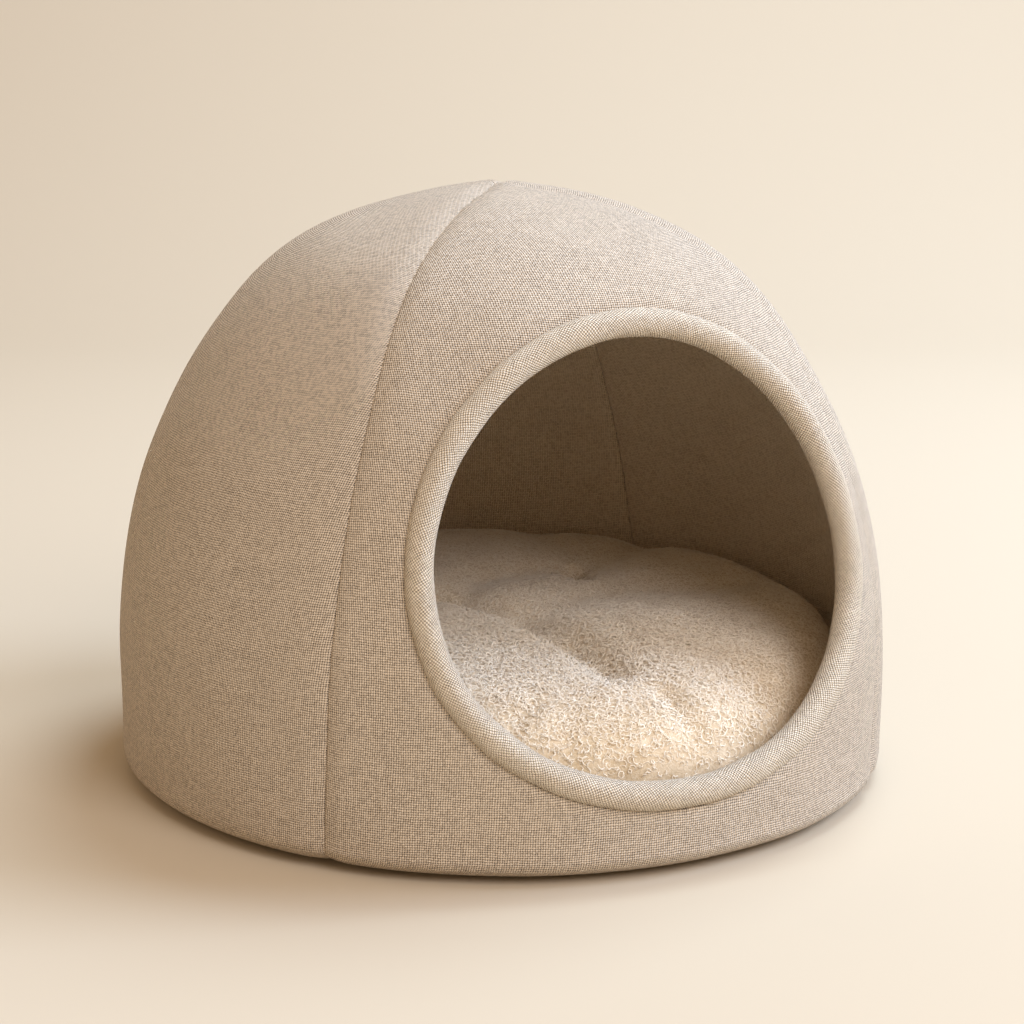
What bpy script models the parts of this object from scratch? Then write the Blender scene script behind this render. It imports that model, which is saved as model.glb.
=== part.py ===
# Linen cat cave bed: a padded dome sewn from four gores, with a rolled binding round its
# opening, a flat base panel and a filled fleece cushion. Metres, +Z up. The origin is on
# the floor under the top of the dome, and the opening faces -Y.
import math
from collections import namedtuple

import bmesh
import bpy
import numpy as np

# Dome, measured on the outside
HALF_WIDTH = 0.225  # at the widest ring
WIDEST_HEIGHT = 0.067
DOME_RISE = 0.267  # from the widest ring to the top
SHOULDER = 0.005  # extra fullness of the shoulder
SHOULDER_LIFT = math.radians(60)
SHOULDER_SPREAD = math.radians(11)
OVAL = 0.0245  # share by which the plan is longer front to back
WALL = 0.012  # padded wall
CURL_IN = 0.030  # the foot of the wall turns under this far
CURL_UP = 0.012
INNER_CURL_UP = 0.006
GAP = 0.0003  # left between pieces that touch

# Gores: the seams stand at these turns from the front, in degrees, and each leans round
# the dome by so many degrees for each LEAN_SPAN of height above LEAN_SPAN
FRONT = math.radians(-90)
Seam = namedtuple("Seam", "turn lean")
LEFT_FRONT = Seam(-48.2, 1.5)
RIGHT_FRONT = Seam(45.9, 3.0)
RIGHT_BACK = Seam(131.6, 4.4)
LEFT_BACK = Seam(228.4, 3.0)
SEAMS = (LEFT_FRONT, RIGHT_FRONT, RIGHT_BACK, LEFT_BACK)
LEAN_SPAN = 0.15
SEAM_DIP = 0.0018  # the padding is drawn in along each seam
SEAM_DIP_SPREAD = 0.007

# Opening: an upright oval cut square to an axis that rises out of the dome
OPENING_LEVEL = 0.0375  # where the axis leaves the dome's own axis
OPENING_TILT = math.radians(32.7)
OPENING_HALF_WIDE = 0.1268
OPENING_HALF_HIGH = 0.1173
OPENING_TURN = math.radians(12)
ROLL_RADIUS = 0.0078
ROLL_DEPTH = 0.35  # share of the wall under which the roll's middle runs
ROLL_GAP = 0.0005
CUT_NEAR = 0.02  # the cut meets the wall between these distances from its start
CUT_FAR = 0.4
CUT_HALVINGS = 30

# Base panel and cushion
BASE_EDGE = 0.003
BASE_GAP = 0.0009  # clears the flats between the points of the gores' hems
CUSHION_RADIUS = 0.2065
CUSHION_SEAM_HEIGHT = 0.041
CUSHION_CROWN = 0.0912  # over the middle
CUSHION_SLOPE = 0.015  # rise of the crown towards the back, for each metre
CUSHION_FULLNESS = 22  # how square the shoulder is, at the back and the sides
CUSHION_FRONT_FULLNESS = 6
CUSHION_FRONT_NARROW = 3  # how fast the fullness changes away from the front
CUSHION_FLAT = 0.80  # share of the radius that lies flat on the base
CUSHION_SCALLOPS = 11
CUSHION_SCALLOP_DEPTH = 0.0016

# Folds of the cushion's top, each along a line of places x, y. A swell has a depth below 0
# and may have one place.
Fold = namedtuple("Fold", "spread depth places")
FOLDS = (
    Fold(0.013, 0.0080, ((-0.036, 0.046), (-0.012, 0.028), (-0.002, -0.004), (0.002, -0.045),
                         (0.004, -0.075), (0.003, -0.108), (-0.001, -0.138))),
    Fold(0.013, 0.0060, ((0.006, -0.084), (0.006, -0.122))),
    Fold(0.017, 0.0050, ((-0.012, 0.044), (0.024, 0.064), (0.060, 0.066), (0.092, 0.058),
                         (0.128, 0.082), (0.160, 0.100))),
    Fold(0.007, 0.0045, ((0.072, 0.034), (0.084, 0.066))),
    Fold(0.015, 0.0030, ((0.084, 0.066), (0.097, 0.112), (0.100, 0.152))),
    Fold(0.020, 0.0035, ((0.014, -0.024), (0.050, -0.004), (0.092, -0.004), (0.128, -0.016),
                         (0.160, -0.014))),
    Fold(0.007, 0.0045, ((0.014, -0.172), (0.016, -0.206))),
    Fold(0.016, 0.0040, ((-0.110, -0.060), (-0.165, -0.086))),
    Fold(0.016, 0.0050, ((-0.120, 0.060), (-0.190, 0.072))),
    Fold(0.044, -0.0025, ((0.040, 0.122),)),
    Fold(0.036, -0.0020, ((0.138, 0.044),)),
    Fold(0.034, -0.0025, ((0.066, -0.070),)),
    Fold(0.040, -0.0015, ((-0.060, -0.070),)),
)

# Mesh steps
CURL_STEPS = 4
SIDE_STEPS = 3
DOME_STEPS = 14
FINE_STEPS = 10  # steps of the worked-out section between two rows of points
GORE_COLUMNS = 10
FRONT_FOOT_STEPS = 18
FRONT_RINGS = 6
SEAM_BANDS = (0.007, 0.015)  # rows of points beside each seam
ROLL_SIDES = 10
LOOP_POINTS = 720
BASE_SPOKES = 48
CUSHION_SPOKES = 90
CUSHION_TOP_RINGS = 20
CUSHION_TOP_SPREAD = 0.75  # under 1 spaces the top's rings more evenly
CUSHION_FOOT_RINGS = 4
NORMAL_STEP = 0.002  # half the span over which the wall's slope is read
LEAN_TRIES = 4  # rounds in which a place's turn is freed of the lean
WELD = 0.00002  # points this near each other are one
SHARP = math.radians(40)

Finish = namedtuple("Finish", "name colour roughness")
LINEN = Finish("oat_linen", (0.60, 0.50, 0.39), 0.9)
BINDING = Finish("oat_linen_binding", (0.66, 0.57, 0.46), 0.9)
BASE_CLOTH = Finish("base_canvas", (0.42, 0.34, 0.25), 0.95)
FLEECE = Finish("cream_fleece", (0.75, 0.65, 0.53), 1.0)


def mix(start, end, share):
    return start + (end - start) * share


def reach(lift):
    # distance of the outside from the middle of the widest ring, at a lift above that ring
    swell = (DOME_RISE - HALF_WIDTH) * np.sin(lift) ** 2
    shoulder = SHOULDER * np.exp(-(((lift - SHOULDER_LIFT) / SHOULDER_SPREAD) ** 2))
    return HALF_WIDTH + swell + shoulder


def wall_section(curl_steps, side_steps, dome_steps):
    # radius and height of the outside and the inside, row by row from the hem to the top
    turn = np.linspace(0, math.pi / 2, curl_steps, endpoint=False)
    curl_in = 1 - np.sin(turn)
    curl_up = 1 - np.cos(turn)
    outer_foot = np.stack([HALF_WIDTH - CURL_IN * curl_in, CURL_UP * curl_up], 1)
    inner_foot = np.stack(
        [HALF_WIDTH - WALL - (CURL_IN - WALL) * curl_in, WALL + INNER_CURL_UP * curl_up], 1
    )
    share = np.linspace(0, 1, side_steps, endpoint=False)
    outer_side = np.stack([np.full_like(share, HALF_WIDTH), mix(CURL_UP, WIDEST_HEIGHT, share)], 1)
    inner_side = np.stack(
        [np.full_like(share, HALF_WIDTH - WALL), mix(WALL + INNER_CURL_UP, WIDEST_HEIGHT, share)], 1
    )
    lift = np.linspace(0, math.pi / 2, dome_steps + 1)
    away = np.stack([np.cos(lift), np.sin(lift)], 1)
    outer_dome = away * reach(lift)[:, None] + [0, WIDEST_HEIGHT]
    outer_dome[-1, 0] = 0
    inner_dome = outer_dome - outward(outer_dome, lift) * WALL
    return (
        np.vstack([outer_foot, outer_side, outer_dome]),
        np.vstack([inner_foot, inner_side, inner_dome]),
    )


def outward(curve, lift):
    # unit normals of the dome's section, level at the widest ring and upright at the top
    slope = np.gradient(curve, lift, axis=0)
    normal = np.stack([slope[:, 1], -slope[:, 0]], 1)
    normal /= np.linalg.norm(normal, axis=1)[:, None]
    normal[0] = (1, 0)
    normal[-1] = (0, 1)
    return normal


class Wall:
    # the padded wall: places on it are given by the length up the gore and the turn round it
    def __init__(self):
        fine = FINE_STEPS
        self.outer, self.inner = wall_section(CURL_STEPS * fine, SIDE_STEPS * fine, DOME_STEPS * fine)
        steps = np.linalg.norm(np.diff(self.outer, axis=0), axis=1)
        self.length = np.concatenate([[0], np.cumsum(steps)])

    def row_lengths(self):
        # lengths up the gore at which the pieces have their rows of points
        return self.length[::FINE_STEPS]

    def radius(self, length):
        return np.interp(length, self.length, self.outer[:, 0])

    def lean(self, length, turn):
        # the seams' leans, carried smoothly over the cloth between them
        height = np.interp(length, self.length, self.outer[:, 1])
        turns = [math.radians(seam.turn) for seam in SEAMS]
        leans = [math.radians(seam.lean) for seam in SEAMS]
        lean = np.interp(turn, turns, leans, period=2 * math.pi)
        return lean * (height - LEAN_SPAN) / LEAN_SPAN

    def seam_dip(self, length, turn):
        # how far the padding is drawn in, by the distance to the nearest seam
        away = min(abs(math.remainder(turn - math.radians(seam.turn), 2 * math.pi)) for seam in SEAMS)
        return SEAM_DIP * math.exp(-((away * self.radius(length) / SEAM_DIP_SPREAD) ** 2))

    def point(self, length, turn, depth):
        # depth runs from 0 on the outside to 1 on the inside
        outer = np.array([np.interp(length, self.length, self.outer[:, axis]) for axis in (0, 1)])
        inner = np.array([np.interp(length, self.length, self.inner[:, axis]) for axis in (0, 1)])
        dip = self.seam_dip(length, turn) / WALL
        radius, height = mix(outer, inner, mix(dip, 1 - dip / 2, depth))
        azimuth = FRONT + turn + self.lean(length, turn)
        radius = radius * (1 + OVAL * math.cos(2 * (azimuth - FRONT)))
        return np.array([radius * math.cos(azimuth), radius * math.sin(azimuth), height])

    def place_of(self, point, depth):
        # the length and turn of a point that lies at this depth
        section = mix(self.outer, self.inner, depth)
        length = np.interp(point[2], section[:, 1], self.length)
        leant = math.remainder(math.atan2(point[1], point[0]) - FRONT, 2 * math.pi)
        turn = leant
        for _ in range(LEAN_TRIES):
            turn = leant - self.lean(length, turn)
        return length, turn

    def is_inside(self, point, depth):
        section = mix(self.outer, self.inner, depth)
        azimuth = math.atan2(point[1], point[0])
        radius = np.interp(point[2], section[:, 1], section[:, 0])
        radius *= 1 + OVAL * math.cos(2 * (azimuth - FRONT))
        return point[2] < section[-1, 1] and math.hypot(point[0], point[1]) < radius


def opening_loop(wall):
    # middle line of the roll, where the oval cut meets the wall, with its section frames
    axis = np.array([0, -math.cos(OPENING_TILT), math.sin(OPENING_TILT)])
    right = np.array([1.0, 0, 0])
    up = np.cross(axis, right)
    wide = right * math.cos(OPENING_TURN) + up * math.sin(OPENING_TURN)
    high = up * math.cos(OPENING_TURN) - right * math.sin(OPENING_TURN)
    middle = []
    for angle in np.linspace(0, 2 * math.pi, LOOP_POINTS, endpoint=False):
        start = np.array([0, 0, OPENING_LEVEL])
        start = start + wide * OPENING_HALF_WIDE * math.cos(angle)
        start = start + high * OPENING_HALF_HIGH * math.sin(angle)
        near, far = CUT_NEAR, CUT_FAR
        for _ in range(CUT_HALVINGS):
            half = (near + far) / 2
            if wall.is_inside(start + axis * half, ROLL_DEPTH):
                near = half
            else:
                far = half
        middle.append(start + axis * near)
    middle = np.array(middle)
    along = np.roll(middle, -1, 0) - np.roll(middle, 1, 0)
    along /= np.linalg.norm(along, axis=1)[:, None]
    outside = np.array([surface_normal(wall, place) for place in middle])
    outside -= along * np.sum(outside * along, 1)[:, None]
    outside /= np.linalg.norm(outside, axis=1)[:, None]
    away = np.cross(along, outside)
    if np.dot(away[0], middle[0] - middle.mean(0)) < 0:
        away = -away
    return middle, outside, away


def surface_normal(wall, point):
    length, turn = wall.place_of(point, ROLL_DEPTH)
    up = wall.point(length + NORMAL_STEP, turn, 0) - wall.point(length - NORMAL_STEP, turn, 0)
    turning = NORMAL_STEP / HALF_WIDTH
    round_dome = wall.point(length, turn + turning, 0) - wall.point(length, turn - turning, 0)
    normal = np.cross(round_dome, up)
    return normal / np.linalg.norm(normal)


def make_object(name, points, faces, finish):
    mesh = bpy.data.meshes.new(name)
    mesh.from_pydata([tuple(point) for point in points], [], faces)
    return dress(name, mesh, finish)


def dress(name, mesh, finish):
    mesh.shade_smooth()
    mesh.set_sharp_from_angle(angle=SHARP)
    mesh.materials.append(make_material(finish))
    made = bpy.data.objects.new(name, mesh)
    bpy.context.collection.objects.link(made)
    return made


def make_material(finish):
    found = bpy.data.materials.get(finish.name)
    if found:
        return found
    material = bpy.data.materials.new(finish.name)
    material.use_nodes = True
    shader = material.node_tree.nodes["Principled BSDF"]
    shader.inputs["Base Color"].default_value = (*finish.colour, 1)
    shader.inputs["Roughness"].default_value = finish.roughness
    shader.inputs["Metallic"].default_value = 0
    material.diffuse_color = (*finish.colour, 1)
    return material


def edge_turns(wall, length, left, right):
    # turns of a gore's two edges, each half a gap inside its seam
    inset = math.asin(GAP / 2 / wall.radius(length))
    return left + inset, right - inset


def tip_length(wall, left, right):
    # where the two edges of a gore meet, just short of the top
    radius = GAP / 2 / math.sin((right - left) / 2)
    return float(np.interp(-radius, -wall.outer[-FINE_STEPS:, 0], wall.length[-FINE_STEPS:]))


def column_shares(width):
    # shares across a gore: close beside the seams, then even between
    bands = [band / width for band in SEAM_BANDS]
    even = np.linspace(bands[-1], 0.5, GORE_COLUMNS // 2 + 1)[1:]
    left = [0.0, *bands, *even]
    return left + [1 - share for share in reversed(left[:-1])]


def make_gore(name, wall, left_seam, right_seam):
    left, right = math.radians(left_seam.turn), math.radians(right_seam.turn)
    tip = tip_length(wall, left, right)
    rows = wall.row_lengths()[:-1]
    shares = column_shares((right - left) * HALF_WIDTH)
    columns = len(shares)
    points, faces = [], []
    for depth in (0, 1):
        for length in rows:
            edges = edge_turns(wall, length, left, right)
            points += [wall.point(length, mix(*edges, share), depth) for share in shares]
        points.append(wall.point(tip, (left + right) / 2, depth))
    skin = len(rows) * columns + 1

    def at(row, column, depth):
        place = row * columns + column if row < len(rows) else skin - 1
        return place + depth * skin

    for row in range(len(rows)):
        for column in range(columns - 1):
            outer = [at(row, column, 0), at(row, column + 1, 0)]
            inner = [at(row, column, 1), at(row, column + 1, 1)]
            if row < len(rows) - 1:
                outer += [at(row + 1, column + 1, 0), at(row + 1, column, 0)]
                inner += [at(row + 1, column + 1, 1), at(row + 1, column, 1)]
            else:
                outer.append(at(row + 1, 0, 0))
                inner.append(at(row + 1, 0, 1))
            faces += [outer, inner[::-1]]
        last = columns - 1
        faces.append([at(row, 0, 0), at(row + 1, 0, 0), at(row + 1, 0, 1), at(row, 0, 1)])
        faces.append([at(row, last, 1), at(row + 1, last, 1), at(row + 1, last, 0), at(row, last, 0)])
    for column in range(columns - 1):
        faces.append([at(0, column, 1), at(0, column + 1, 1), at(0, column + 1, 0), at(0, column, 0)])
    return make_object(name, points, faces, LINEN)


def front_edge_places(wall):
    # the edge of the front gore above its foot, as lengths and turns: round from the left
    # end of the foot to the right seam, the tip and the left seam
    seams = math.radians(LEFT_FRONT.turn), math.radians(RIGHT_FRONT.turn)
    rows = wall.row_lengths()[CURL_STEPS:-1]
    edges = [(length, *edge_turns(wall, length, *seams)) for length in rows]
    shares = [step / FRONT_FOOT_STEPS for step in range(1, FRONT_FOOT_STEPS)]
    foot = [(rows[0], mix(edges[0][1], edges[0][2], share)) for share in shares]
    right_side = [(length, right) for length, _, right in edges]
    left_side = [(length, left) for length, left, _ in reversed(edges)]
    return foot + right_side + [(tip_length(wall, *seams), sum(seams) / 2)] + left_side


def front_rings(wall, rim_points):
    # lines of places from the front gore's edge in to the rim of its opening, drawn on the
    # gore laid flat, with the number of the rim point at which each line ends
    rim = np.array([wall.place_of(point, ROLL_DEPTH) for point in rim_points])
    rim_flat = np.stack([rim[:, 1] * wall.radius(rim[:, 0]), rim[:, 0]], 1)
    centre = rim_flat.mean(0)
    rim_angle = np.arctan2(rim_flat[:, 1] - centre[1], rim_flat[:, 0] - centre[0])
    stations, lines = [], []
    for length, turn in front_edge_places(wall):
        edge = np.array([turn * wall.radius(length), length])
        angle = math.atan2(edge[1] - centre[1], edge[0] - centre[0])
        apart = (rim_angle - angle + math.pi) % (2 * math.pi) - math.pi
        stations.append(int(np.argmin(np.abs(apart))))
        end = rim_flat[stations[-1]]
        bands = [band / np.linalg.norm(end - edge) for band in SEAM_BANDS]
        shares = [0, *bands, *np.linspace(bands[-1], 1, FRONT_RINGS + 1)[1:]]
        flat = [mix(edge, end, share) for share in shares]
        lines.append([(y, x / wall.radius(y)) for x, y in flat])
    return stations, lines


def grid_faces(sheet, turned):
    # squares between neighbouring lines of points, as the points themselves
    faces = []
    for line, after in zip(sheet, sheet[1:]):
        for step in range(len(line) - 1):
            square = [line[step], line[step + 1], after[step + 1], after[step]]
            faces.append(square[::-1] if turned else square)
    return faces


def make_front(wall, middle, away):
    stations, lines = front_rings(wall, middle + away * (ROLL_RADIUS + ROLL_GAP))
    seams = math.radians(LEFT_FRONT.turn), math.radians(RIGHT_FRONT.turn)
    shares = [step / FRONT_FOOT_STEPS for step in range(FRONT_FOOT_STEPS + 1)]
    foot = []
    for length in wall.row_lengths()[: CURL_STEPS + 1]:
        edges = edge_turns(wall, length, *seams)
        foot.append([(length, mix(*edges, share)) for share in shares])
    faces = []
    for sheet in (lines + lines[:1], foot):
        for depth in (0, 1):
            skin = [[wall.point(*place, depth) for place in line] for line in sheet]
            faces += grid_faces(skin, turned=(depth == 0) == (sheet is foot))
    foot_edge = [*foot[0], *[line[-1] for line in foot[1:]]]
    gore_edge = foot_edge + [line[0] for line in lines[FRONT_FOOT_STEPS:]]
    gore_edge += [line[0] for line in foot[-2::-1]]
    rim = [line[-1] for line in lines]
    for border in (gore_edge, rim + rim[:1]):
        skin = [[wall.point(*place, depth) for place in border] for depth in (0, 1)]
        faces += grid_faces(skin, turned=True)
    make_welded("front_panel", faces, LINEN)
    return stations


def make_welded(name, faces, finish):
    # an object from loose faces, joined where their points meet
    mesh = bpy.data.meshes.new(name)
    work = bmesh.new()
    for face in faces:
        work.faces.new([work.verts.new(point) for point in face])
    bmesh.ops.remove_doubles(work, verts=work.verts, dist=WELD)
    bmesh.ops.recalc_face_normals(work, faces=work.faces)
    work.to_mesh(mesh)
    work.free()
    return dress(name, mesh, finish)


def make_roll(middle, outside, away, stations):
    # a padded tube round the opening, with its sections where the front panel's rim has points
    points = []
    for station in sorted(stations):
        for side in range(ROLL_SIDES):
            angle = 2 * math.pi * side / ROLL_SIDES
            arm = outside[station] * math.cos(angle) + away[station] * math.sin(angle)
            points.append(middle[station] + arm * ROLL_RADIUS)
    around = len(stations)
    faces = []
    for spoke in range(around):
        for side in range(ROLL_SIDES):
            here = spoke * ROLL_SIDES
            there = (spoke + 1) % around * ROLL_SIDES
            step = (side + 1) % ROLL_SIDES
            faces.append([here + side, here + step, there + step, there + side])
    return make_object("opening_roll", points, faces, BINDING)


def plan_ring(radius, height, count, wave=0.0):
    # one level ring of the oval plan, with the drawn-in scallops of the cushion where asked
    ring = []
    for step in range(count):
        azimuth = 2 * math.pi * step / count
        reach_out = radius * (1 + OVAL * math.cos(2 * (azimuth - FRONT)))
        reach_out -= wave * (1 + math.cos(CUSHION_SCALLOPS * azimuth)) / 2
        ring.append((reach_out * math.cos(azimuth), reach_out * math.sin(azimuth), height))
    return ring


def stack_rings(rings, foot, crown):
    # a closed body from level rings, bottom first, capped at a foot and a crown point
    count = len(rings[0])
    points = [point for ring in rings for point in ring] + [foot, crown]
    faces = []
    for step in range(count):
        after = (step + 1) % count
        faces.append([len(points) - 2, after, step])
        for row in range(len(rings) - 1):
            low, high = row * count, (row + 1) * count
            faces.append([low + step, low + after, high + after, high + step])
        last = (len(rings) - 1) * count
        faces.append([last + step, last + after, len(points) - 1])
    return points, faces


def make_base():
    radius = HALF_WIDTH - CURL_IN - BASE_GAP
    count = BASE_SPOKES
    rings = [
        plan_ring(radius - BASE_EDGE, 0, count),
        plan_ring(radius, BASE_EDGE, count),
        plan_ring(radius, WALL - BASE_EDGE, count),
        plan_ring(radius - BASE_EDGE, WALL, count),
    ]
    points, faces = stack_rings(rings, (0, 0, 0), (0, 0, WALL))
    return make_object("base_panel", points, faces, BASE_CLOTH)


def cushion_top(x, y, share):
    # height of the cushion's top at a place that lies at this share of the radius
    crown = CUSHION_CROWN + CUSHION_SLOPE * y
    frontness = ((1 - math.sin(math.atan2(y, x))) / 2) ** CUSHION_FRONT_NARROW
    fullness = mix(CUSHION_FULLNESS, CUSHION_FRONT_FULLNESS, frontness)
    fall = max(0.0, 1 - share**fullness) ** 0.5
    height = mix(CUSHION_SEAM_HEIGHT, crown, fall)
    for fold in FOLDS:
        height -= fall * fold.depth * math.exp(-((fold_distance(fold, x, y) / fold.spread) ** 2))
    return height


def fold_distance(fold, x, y):
    # distance to the nearest place on the line that the fold follows
    nearest = math.inf
    for (x0, y0), (x1, y1) in zip(fold.places, fold.places[1:] or fold.places):
        run_x, run_y = x1 - x0, y1 - y0
        squared = run_x**2 + run_y**2
        share = ((x - x0) * run_x + (y - y0) * run_y) / squared if squared else 0.0
        share = min(1.0, max(0.0, share))
        nearest = min(nearest, math.hypot(x - x0 - run_x * share, y - y0 - run_y * share))
    return nearest


def make_cushion():
    foot_height = WALL + GAP
    rings = []
    for step in range(CUSHION_FOOT_RINGS):
        share = mix(CUSHION_FLAT, 1.0, math.sin(math.pi / 2 * step / CUSHION_FOOT_RINGS))
        rise = 1 - math.cos(math.pi / 2 * step / CUSHION_FOOT_RINGS)
        height = mix(foot_height, CUSHION_SEAM_HEIGHT, rise)
        rings.append(plan_ring(CUSHION_RADIUS * share, height, CUSHION_SPOKES, CUSHION_SCALLOP_DEPTH * share))
    for step in range(CUSHION_TOP_RINGS):
        share = math.cos(math.pi / 2 * step / CUSHION_TOP_RINGS) ** CUSHION_TOP_SPREAD
        ring = plan_ring(CUSHION_RADIUS * share, 0, CUSHION_SPOKES, CUSHION_SCALLOP_DEPTH * share)
        rings.append([(x, y, cushion_top(x, y, share)) for x, y, _ in ring])
    crown = (0, 0, cushion_top(0, 0, 0))
    points, faces = stack_rings(rings, (0, 0, foot_height), crown)
    return make_object("cushion", points, faces, FLEECE)


def whole_turn_on(seam):
    return Seam(seam.turn + 360, seam.lean)


def clear_scene():
    for old in list(bpy.data.objects):
        bpy.data.objects.remove(old, do_unlink=True)


def main():
    clear_scene()
    wall = Wall()
    middle, outside, away = opening_loop(wall)
    stations = make_front(wall, middle, away)
    make_roll(middle, outside, away, stations)
    make_gore("right_side_panel", wall, RIGHT_FRONT, RIGHT_BACK)
    make_gore("back_panel", wall, RIGHT_BACK, LEFT_BACK)
    make_gore("left_side_panel", wall, LEFT_BACK, whole_turn_on(LEFT_FRONT))
    make_base()
    make_cushion()


main()
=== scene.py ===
# Linen cat cave bed: a padded dome of four linen gores that meet at the top, a padded roll
# round its opening, a canvas base and a curly fleece cushion. Metres, +Z up, opening to -Y.
import math

import bpy
import numpy as np
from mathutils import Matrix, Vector
from mathutils.bvhtree import BVHTree


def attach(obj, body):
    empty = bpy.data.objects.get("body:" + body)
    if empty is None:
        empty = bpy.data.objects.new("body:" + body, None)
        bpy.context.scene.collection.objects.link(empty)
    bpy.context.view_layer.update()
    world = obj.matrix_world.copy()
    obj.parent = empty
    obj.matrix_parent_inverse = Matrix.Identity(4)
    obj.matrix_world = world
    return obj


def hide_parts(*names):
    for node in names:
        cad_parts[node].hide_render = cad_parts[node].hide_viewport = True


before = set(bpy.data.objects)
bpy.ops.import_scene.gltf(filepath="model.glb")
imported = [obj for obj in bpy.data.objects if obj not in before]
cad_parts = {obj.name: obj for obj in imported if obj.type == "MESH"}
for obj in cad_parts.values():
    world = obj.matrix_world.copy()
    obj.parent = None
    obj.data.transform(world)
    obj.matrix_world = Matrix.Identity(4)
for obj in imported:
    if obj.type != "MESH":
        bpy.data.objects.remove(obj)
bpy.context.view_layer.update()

mm = 0.001
body = "root"


# small helpers

def mix(start, end, share):
    return start + (end - start) * share


def hexToLinear(code):
    values = [int(code[place:place + 2], 16) / 255 for place in (1, 3, 5)]
    linear = [v / 12.92 if v <= 0.04045 else ((v + 0.055) / 1.055) ** 2.4 for v in values]
    return (*linear, 1.0)


def setInputs(tree, node, inputs):
    # an input is linked from a socket, or from a node's first output, or set to a value
    for place, value in inputs.items():
        if isinstance(value, bpy.types.Node):
            value = value.outputs[0]
        if isinstance(value, bpy.types.NodeSocket):
            tree.links.new(value, node.inputs[place])
        else:
            node.inputs[place].default_value = value


def addNode(tree, kind, inputs, **settings):
    node = tree.nodes.new("ShaderNode" + kind)
    for name, value in settings.items():
        setattr(node, name, value)
    setInputs(tree, node, inputs)
    return node


def startMaterial(name):
    material = bpy.data.materials.new(name)
    material.use_nodes = True
    return material, material.node_tree, material.node_tree.nodes["Principled BSDF"]


waves = {
    "count": 14,
    "quicker": (0.7, 1.4),     # each wave repeats this many times as often as asked
    "height": 1.6,             # what the sum is divided by, to stay between about -1 and 1
}


def softWaves(points, wavelength, seed):
    # smooth uneven field: a few waves in seeded directions
    rng = np.random.default_rng(seed)
    directions = rng.normal(size=(waves["count"], 3))
    directions /= np.linalg.norm(directions, axis=1)[:, None]
    phases = rng.uniform(0, 2 * math.pi, waves["count"])
    quicker = rng.uniform(*waves["quicker"], waves["count"])
    field = np.zeros(points.shape[:-1])
    for direction, phase, factor in zip(directions, phases, quicker):
        field += np.sin(points @ direction * 2 * math.pi / wavelength * factor + phase)
    return field / math.sqrt(waves["count"] / 2) / waves["height"]


def gridFaces(indices, flip=False):
    # quads of a grid of point numbers
    quads = np.stack([indices[:-1, :-1], indices[:-1, 1:], indices[1:, 1:], indices[1:, :-1]], -1)
    quads = quads.reshape(-1, 4)
    return quads[:, ::-1] if flip else quads


class Patches:
    # grids of points that share their edges, gathered into one mesh with its weave map
    def __init__(self):
        self.points, self.weave, self.faces, self.count = [], [], [], 0

    def add(self, points, weave, flip=False):
        rows, columns = points.shape[:2]
        indices = np.arange(rows * columns).reshape(rows, columns) + self.count
        self.points.append(points.reshape(-1, 3))
        self.weave.append(weave.reshape(-1, 2))
        self.faces.append(gridFaces(indices, flip))
        self.count += rows * columns

    def make(self, name):
        points, weave = np.vstack(self.points), np.vstack(self.weave)
        keys = np.round(points / (0.001 * mm)).astype(np.int64)    # joined within a micron
        _, first, number = np.unique(keys, axis=0, return_index=True, return_inverse=True)
        faces = number.reshape(-1)[np.vstack(self.faces)]
        return makeMesh(name, points[first], faces, weave[first])


def makeMesh(name, points, faces, weave=None, periods=(0, 0)):
    # a face that names a point twice loses it, and one with under three points is left out
    cleaned = []
    for face in faces.tolist():
        corners = list(dict.fromkeys(face))
        if len(corners) > 2:
            cleaned.append(corners)
    mesh = bpy.data.meshes.new(name)
    mesh.from_pydata(points.tolist(), [], cleaned)
    mesh.validate()
    mesh.shade_smooth()
    if weave is not None:
        addWeaveMap(mesh, weave, periods)
    made = bpy.data.objects.new(name, mesh)
    bpy.context.collection.objects.link(made)
    return made


def addWeaveMap(mesh, weave, periods):
    # cloth lengths in metres, kept whole across the faces where a closed piece comes round
    corners = np.zeros(len(mesh.loops), np.int64)
    mesh.loops.foreach_get("vertex_index", corners)
    places = weave[corners]
    starts = np.array([polygon.loop_start for polygon in mesh.polygons])
    sizes = np.array([polygon.loop_total for polygon in mesh.polygons])
    owner = np.repeat(np.arange(len(starts)), sizes)
    for axis, period in enumerate(periods):
        if period:
            highest = np.full(len(starts), -1e9)
            np.maximum.at(highest, owner, places[:, axis])
            behind = highest[owner] - places[:, axis] > period / 2
            places[behind, axis] += period
    layer = mesh.uv_layers.new(name="Weave")
    layer.data.foreach_set("uv", places.astype(np.float32).ravel())


def fanFaces(centre, ring, flip=False):
    # triangles from a middle point to a closed ring of points
    fan = [[centre, here, there, centre] for here, there in zip(ring, np.roll(ring, -1))]
    return [face[::-1] for face in fan] if flip else fan


def makeRound(name, rings, bottom, top, woven=False):
    # a round piece from its rings of points, closed by a middle point below and one above
    rows, spokes = rings.shape[:2]
    indices = np.arange(rows * spokes).reshape(rows, spokes)
    sides = gridFaces(np.pad(indices, ((0, 0), (0, 1)), mode="wrap"))
    caps = fanFaces(rows * spokes, indices[0], flip=True) + fanFaces(rows * spokes + 1, indices[-1])
    points = np.vstack([rings.reshape(-1, 3), [[0, 0, bottom], [0, 0, top]]])
    return makeMesh(name, points, np.vstack([sides, caps]), points[:, :2].copy() if woven else None)


# the padded wall: places on it are a length up the gore, a turn from the front, and a depth

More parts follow.
